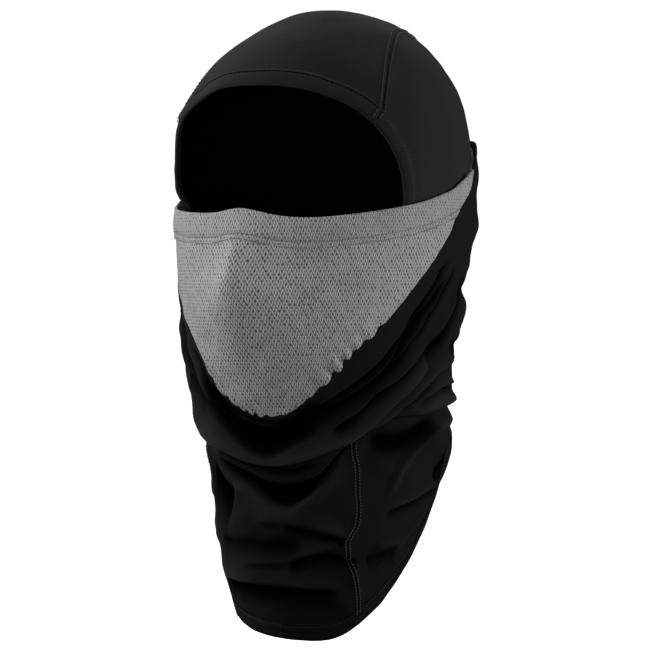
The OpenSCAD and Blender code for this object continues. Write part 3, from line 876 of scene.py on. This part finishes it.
def neck_lift(deg, z):
    """The neck's folds, the dark pocket under the cowl, and the part that is tucked up inside it."""
    folds = relief(NECK_FOLDS, deg, z, NECK_STEP) * (1 - 0.6 * swell(deg, -58, 14))
    pocket, inside = neck_pocket(deg, z)
    tuck = -5.0 * smooth((z - along(COWL_LOW, deg) + 3) / 8)
    low = along(HEM_LOW, deg)
    still = 0.25 + 0.75 * smooth((z - low) / 16)
    p = paired(deg * NECK_STEP, z)
    fine = 0.3 * waves(p * (0.5, 1.0), 13, 31) + 0.6 * waves(p * (0.6, 1.0), 36, 32)
    return (folds + fine) * still + np.minimum(pocket, tuck * (1 - inside) + pocket * inside)


def gathers(deg):
    """The puckers along the seam of mesh and cowl, from -1 in a notch to 1 on a lobe."""
    on_left = between(deg, 24, 64, 8, 12)
    under_chin = between(deg, -22, 22, 8, 8)
    lobes = np.abs(np.sin(np.pi * (deg + 1.1 * np.sin(deg / 3.7)) / 4.8)) ** 0.8
    return (on_left + 0.6 * under_chin) * (2 * lobes - 1) * (0.75 + 0.35 * np.sin(deg / 2.9))


def mesh_edge(deg):
    """The seam of mesh and cowl, scalloped by its gathers."""
    return along(COWL_TOP, deg) - 1.0 * gathers(deg)


def mask_lift(deg, z):
    """Small puckers where the mesh is gathered into the cowl, and the mesh's own soft waves."""
    edge = mesh_edge(deg)
    pucker = 1.7 * gathers(deg + 0.34 * (z - edge)) * swell(z, edge, 7.5)
    tuck = -2.0 * smooth((edge + 0.6 - z) / 3.0)
    p = mask_form(deg, z)
    soft = 0.35 * waves(p, 30, 41) + 0.10 * waves(p, 11, 42)
    return pucker + tuck + soft


mask_surface = lifted(mask_form, mask_lift)


def cowl_surface(deg, z):
    """The folded cowl. Its ridges lean down and away from the mesh, so that they hang over the valleys."""
    lift = cowl_lift(deg, z)
    slope = (along(COWL_TOP, deg + 4) - along(COWL_TOP, deg - 4)) / 8
    lean = np.clip(0.5 * lift, -1.5, 3.0) / np.hypot(slope, COWL_STEP)
    return out_from(outer_form, deg + slope * lean / COWL_STEP, z - COWL_STEP * lean, lift)


neck_surface = lifted(neck_form, neck_lift)


def gives(obj, slot, *nodes):
    """A piece that lies between the mask and the neck: its place is baked into its points, and the nodes it
    stands for are hidden.
    """
    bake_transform(obj)
    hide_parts(*nodes)
    return obj


def around(fine, coarse):
    """Angles of a ring from the back round, closer together over the face and the wearer's left side."""
    return np.concatenate([np.linspace(-180, -78, coarse, endpoint=False),
                           np.linspace(-78, 132, fine, endpoint=False),
                           np.linspace(132, 180, coarse // 2, endpoint=False)])


def girth(deg):
    """How far round the mask an angle lies from straight ahead, in millimetres."""
    steps = np.linspace(-150, 150, 601)
    line = outer_form(steps, -30.0)
    run = run_along(line[None], 1)[0]
    return np.interp(deg, steps, run - run[len(run) // 2])


def mask_weave(deg, z):
    """The weave of the mask, which lies level right across it."""
    return paired(girth(deg), z)


def make_mesh():
    """The mesh, from its edge tucked under the cowl up to the back of its hem."""
    deg = np.linspace(-112, 112, 380)
    rows = np.linspace(0, 1, 150)[:, None]
    low = mesh_edge(deg) - 2.6
    high = np.maximum(mask_top(deg) - MASK_HEM + 2.0, low + 1.5)
    z = low + (high - low) * rows
    wide = np.broadcast_to(deg, z.shape)
    grid = mask_surface(wide, z)
    top_in = -0.7 * smooth((rows - 0.95) / 0.04)
    side_in = -1.6 * smooth((np.abs(deg) - 98) / 8)
    grid = moved_out(grid, top_in + side_in)
    obj = cloth("mask_mesh", grid, [MESH], 0.7, weave=mask_weave(wide, z))
    return gives(obj, "grey_mesh", "mask_mesh_panel")


mask_mesh = make_mesh()


def hem_point(deg, down, off):
    """A point of the mask's hem, down from its upper edge; its ends slip in under the cowl."""
    z = mask_top(deg) - down
    base = mask_form(deg, z)
    under = -2.0 * smooth((along(COWL_TOP, deg) + 1.0 - z) / 2.5)
    wavy = 0.3 * waves(base, 24, 51)
    return base + normals(mask_form, deg, z) * (np.asarray(off) + under + wavy)[..., None]


def make_mask_hem():
    """The mask's turned upper hem, the stitches along it and the elastic inside it."""
    deg = np.linspace(-HEM_END, HEM_END, 380)
    sewn_at = (MASK_HEM, MASK_HEM + 3.0)
    grid = np.stack(hem_rows(lambda w, off: hem_point(deg, w, off), np.linspace(MASK_HEM + 3.5, 0.7, 26),
                             (MASK_HEM, 0.55, 0.7), (sewn_at, 0.45, 0.8), (0.8, 0.8, -1.25),
                             np.linspace(1.5, MASK_HEM + 3, 6)))
    weave = mask_weave(np.broadcast_to(deg, grid.shape[:2]), grid[..., 2])
    hem = cloth("mask_hem", grid, [MESH_HEM], 0.35, weave=weave)
    sewn = np.linspace(-100, 100, 700)
    lines = [stitch_row(hem_point(sewn, line, 0.3), hem_point(sewn, line, 3)) for line in sewn_at]
    thread = stitches("mask_hem_thread", lines, GREY_THREAD, 2.3, 0.8, 0.5)
    ripple = -0.25 + 0.12 * np.sin(deg * 2.2)
    tape = cloth("mask_elastic", np.stack([hem_point(deg, d, ripple) for d in np.linspace(9.5, 2.5, 8)]),
                 [ELASTIC], 0.3)
    return (gives(hem, "grey_hem", "mask_top_hem"), gives(thread, "grey_thread", "mask_hem_stitch"),
            gives(tape, "elastic", "mask_hem_elastic"))


mask_hem, mask_thread, mask_elastic = make_mask_hem()


def make_cowl():
    """One folded sheet: its lower fold turns under, and its upper edge is turned in over the mesh."""
    deg = around(360, 52)
    low, high = along(COWL_LOW, deg), mesh_edge(deg)
    share = np.linspace(0, 1, 140)[:, None] ** 0.95
    z = low + (high - low) * share
    wide = np.broadcast_to(deg, z.shape)
    main = cowl_surface(wide, z)
    out = unit(np.cross(np.roll(main, -1, 1) - np.roll(main, 1, 1), np.gradient(main, axis=0)))
    up = unit(np.gradient(main, axis=0))
    r = (0.9 + 1.0 * smooth((70 - np.abs(deg)) / 40))[:, None]
    # under the lower fold, the cloth comes down inside the rows above it and turns out
    under = [main[k] - out[k] * 2 * r for k in (18, 14, 11, 8, 6, 4, 2, 1)]
    for turn in np.linspace(np.pi, 0, 9)[:-1]:
        under.append(main[0] - out[0] * r + r * (out[0] * math.cos(turn) - up[0] * math.sin(turn)))
    # at the upper edge it turns in and goes back down
    small, over = 0.7, []
    for turn in np.linspace(0, np.pi, 7)[1:]:
        over.append(main[-1] - out[-1] * small + small * (out[-1] * math.cos(turn) + up[-1] * math.sin(turn)))
    over += [main[-k] - out[-k] * 2 * small for k in (2, 3, 5, 7)]
    # painted shade in the folds and in the hollow under the mesh's tip, painted highlight on the ridges
    shade = painted_fold_light(COWL_FOLDS, wide, z, COWL_STEP, hollow(deg, z))
    shade = np.pad(shade, ((len(under), len(over)), (0, 0)), mode="edge")
    grid = np.concatenate([under, main, over])
    obj = cloth("cowl", grid, [BLACK, INSIDE], 0.45, ring=True, shade=shade)
    return gives(obj, "black_jersey", "cowl_panel")


cowl = make_cowl()


LEFT_SEAM = [[-236, 54], [-224, 53.5], [-213, 53.5], [-200, 52], [-190, 49], [-183, 46.5], [-175, 46],
             [-168, 49.5], [-158, 50.5], [-150, 49], [-137, 48], [-127, 46], [-90, 45]]
RIGHT_SEAM = [[-236, -55], [-215, -54], [-200, -52], [-186, -53], [-170, -50], [-150, -51], [-130, -49],
              [-90, -48]]


def left_seam(z):
    """The angle of the neck's front seam on the wearer's left, which the folds push about."""
    return along(LEFT_SEAM, z)


def right_seam(z):
    return along(RIGHT_SEAM, z)


def neck_grid(first, last, cols, rows):
    """Cloth of the neck between two lines of angles that depend on the height."""
    share = np.linspace(0, 1, cols)[None, :]
    up = np.linspace(0, 1, rows)[:, None]
    z = -120.0
    for _ in range(6):
        deg = first(z) + (last(z) - first(z)) * share
        low = along(HEM_LOW, deg) + 1.0
        z = low + (-88 - low) * up
    return deg, z


def neck_cloth(name, first, last, cols, node_name):
    """A panel of the neck, pinched where it is sewn to its neighbour in front."""
    deg, z = neck_grid(first, last, cols, 150)
    seam = np.minimum(np.abs(deg - left_seam(z)), np.abs(deg - right_seam(z))) * NECK_STEP
    pinch = 0.5 * swell(seam, 0, 3.0) - 0.8 * swell(seam, 0, 0.8)
    grid = out_from(neck_surface, deg, z, pinch)
    # painted shade in the folds and in the pocket under the cowl, painted highlight on the ridges
    shade = painted_fold_light(NECK_FOLDS, deg, z, NECK_STEP, 0.6 * neck_pocket(deg, z)[0])
    obj = cloth(name, grid, [BLACK, INSIDE], 0.9, shade=shade)
    return rides(obj, "gaiter", "black_jersey", node_name)


neck_front = neck_cloth("neck_front", right_seam, left_seam, 130, "neck_front_panel")
neck_left = neck_cloth("neck_side_left", left_seam, lambda z: 180.0, 150, "neck_side_panel_left")
neck_right = neck_cloth("neck_side_right", lambda z: -180.0, right_seam, 150, "neck_side_panel_right")


def make_neck_hem():
    """The turned hem round the bottom, and the two rows of stitches along it."""
    deg = around(290, 60)
    low = along(HEM_LOW, deg)
    sewn_at = (NECK_HEM - 1.2, NECK_HEM - 4.5)
    rows = hem_rows(lambda w, off: out_from(neck_surface, deg, low + w, off),
                    np.linspace(NECK_HEM + 0.6, 0.8, 14), (NECK_HEM, 0.5, 0.7), (sewn_at, 0.4, 0.7),
                    (0.8, 0.8, -1.3), np.linspace(1.6, NECK_HEM, 5))
    hem = cloth("neck_hem", np.stack(rows)[::-1], [NECK_HEM_BLACK, INSIDE], 0.4, ring=True)
    whole = np.linspace(-180, 180, 900)
    lines = [sewn_line(neck_surface, whole, along(HEM_LOW, whole) + line, 0.3) for line in sewn_at]
    thread = stitches("neck_hem_thread", lines, HEM_THREAD, 2.5, 0.8, 0.4)
    return (rides(hem, "gaiter", "hem_jersey", "neck_bottom_hem"),
            rides(thread, "gaiter", "black_thread", "neck_hem_stitch"))


neck_hem, neck_hem_thread = make_neck_hem()


def make_seam_stitches():
    """Twin rows of stitches up the neck's two front seams."""
    z = np.linspace(-222, -100, 300)
    made = []
    for side, seam in (("left", left_seam), ("right", right_seam)):
        lines = [sewn_line(neck_surface, seam(z) + gap / NECK_STEP, z, 0.35) for gap in (-1.3, 1.3)]
        obj = stitches(f"neck_seam_thread_{side}", lines, SEAM_THREAD, 1.75, 0.8, 0.7)
        made.append(rides(obj, "gaiter", "black_thread", f"neck_seam_stitch_{side}"))
    return made


def back_stitches(name, surface, z):
    """Twin rows of stitches down the back, over the given heights."""
    return stitches(name, [sewn_line(surface, 180 + gap, z, 0.1) for gap in (-1.2, 1.2)], THREAD, 2.4)


neck_stitches = make_seam_stitches()
neck_back_thread = rides(back_stitches("neck_back_stitch_rows", neck_surface, np.linspace(-108, -92, 40)),
                         "gaiter", "black_thread", "neck_back_stitch")
cowl_back_thread = gives(back_stitches("cowl_back_stitch_rows", cowl_surface, np.linspace(-92, 34, 300)),
                         "black_thread", "cowl_back_stitch")


def make_hinge_roll():
    """The rolled seam that ties the hood to the outer layer's upper edge."""
    count = 60
    line = out_from(cowl_surface, np.linspace(168, 192, count), 40.5, -0.6)
    fat = 1.5 * np.sqrt(np.clip(1 - (np.linspace(-1, 1, count)) ** 8, 0.05, 1))
    fat = fat * (1 + 0.08 * np.sin(np.linspace(0, 60 * np.pi, count)))
    return rides(tube("hinge_roll", line, fat, HEM_BLACK, 14), "gaiter", "hem_jersey", "hinge_seam_roll")


make_hinge_roll()


def make_label():
    """A folded tape label sewn inside the back of the neck, with nothing on it."""
    x = np.linspace(-11, 11, 14)
    fold = ((-97, 0), (-104, 0.2), (-110, 0.35), (-111.4, 0), (-110, -0.45), (-104, -0.5), (-97, -0.3))
    rows = [np.stack([x, 66 - 0.012 * x ** 2 + back * 1.6, z + 0 * x], -1) for z, back in fold]
    obj = cloth("blank_label", np.stack(rows), [LABEL], 0.25)
    soft = obj.modifiers.new("smooth", "SUBSURF")
    soft.levels = soft.render_levels = 1
    return rides(obj, "gaiter", "label_tape", "care_label")


label = make_label()

# ---- stage, light and camera ----

AIM = Vector((0, 0, -0.0608))
VIEW_DEG, CAMERA_RISE, CAMERA_FAR = 28.0, 1.0, 2.0
AMBIENT, BACKDROP = 0.05, 1.05
# degrees right of the camera's line, degrees up, metres away, metres across and watts
LAMPS = {"left_rim": (-112, 10, 0.9, 0.35, 3.6), "left_box": (-66, 34, 0.9, 0.35, 4.8),
         "front_box": (-6, 4, 0.9, 0.35, 2.7), "right_box": (90, 4, 0.9, 0.35, 6.0),
         "back_box": (180, 50, 1.4, 0.9, 5.0)}


def add_object(name, data):
    obj = bpy.data.objects.new(name, data)
    bpy.context.scene.collection.objects.link(obj)
    return obj


def make_stage():
    """A white floor, which has a lamp of its own."""
    size, height = 40.0, -0.262
    mesh = bpy.data.meshes.new("floor")
    corners = [(-size, -size, height), (size, -size, height), (size, size, height), (-size, size, height)]
    mesh.from_pydata(corners, [], [(0, 1, 2, 3)])
    material, _, shader = new_material("floor_paint", 0.9, 0.1)
    shader.inputs["Base Color"].default_value = (0.9, 0.9, 0.9, 1)
    mesh.materials.append(material)
    floor = add_object("floor", mesh)
    floor.visible_diffuse = False
    floor.visible_glossy = False


def from_view(side, rise, far):
    """A place far away from the object, side degrees right of the camera's line and rise degrees up."""
    a, b = math.radians(VIEW_DEG + side), math.radians(rise)
    return AIM + far * Vector((math.sin(a) * math.cos(b), -math.cos(a) * math.cos(b), math.sin(b)))


def put_at(obj, side, rise, far):
    """Move a lamp or camera to its place, and turn it to the object."""
    obj.location = from_view(side, rise, far)
    obj.rotation_euler = (AIM - obj.location).to_track_quat("-Z", "Y").to_euler()


def area_light(name, side, rise, far, size, power):
    light = bpy.data.lights.new(name, "AREA")
    light.shape = "DISK"
    light.size = size
    light.energy = power
    put_at(add_object(name, light), side, rise, far)


def make_world():
    """A white backdrop that sends the object only a little light."""
    world = bpy.data.worlds.new("studio")
    world.use_nodes = True
    tree = world.node_tree
    background = tree.nodes["Background"]
    seen = node(tree, "ShaderNodeLightPath")
    strength = maths(tree, "MULTIPLY_ADD", seen.outputs["Is Camera Ray"], BACKDROP - AMBIENT, AMBIENT)
    link(tree, strength, background.inputs["Strength"])
    background.inputs["Color"].default_value = (1, 1, 1, 1)
    bpy.context.scene.world = world


def make_light():
    """The lamps round the object, and a sun that lights only the floor."""
    for name, setting in LAMPS.items():
        area_light(name, *setting)
    sun = bpy.data.lights.new("floor_light", "SUN")
    sun.energy = 4.2
    sun.use_shadow = False
    only_floor = bpy.data.collections.new("lit_floor")
    only_floor.objects.link(bpy.data.objects["floor"])
    add_object("floor_light", sun).light_linking.receiver_collection = only_floor


def make_camera():
    camera = bpy.data.cameras.new("camera")
    camera.sensor_width = 36
    camera.lens = 200.5
    obj = add_object("camera", camera)
    put_at(obj, 0, CAMERA_RISE, CAMERA_FAR)
    bpy.context.scene.camera = obj


make_stage()
make_world()
make_light()
make_camera()
bpy.context.scene.view_settings.view_transform = "Standard"
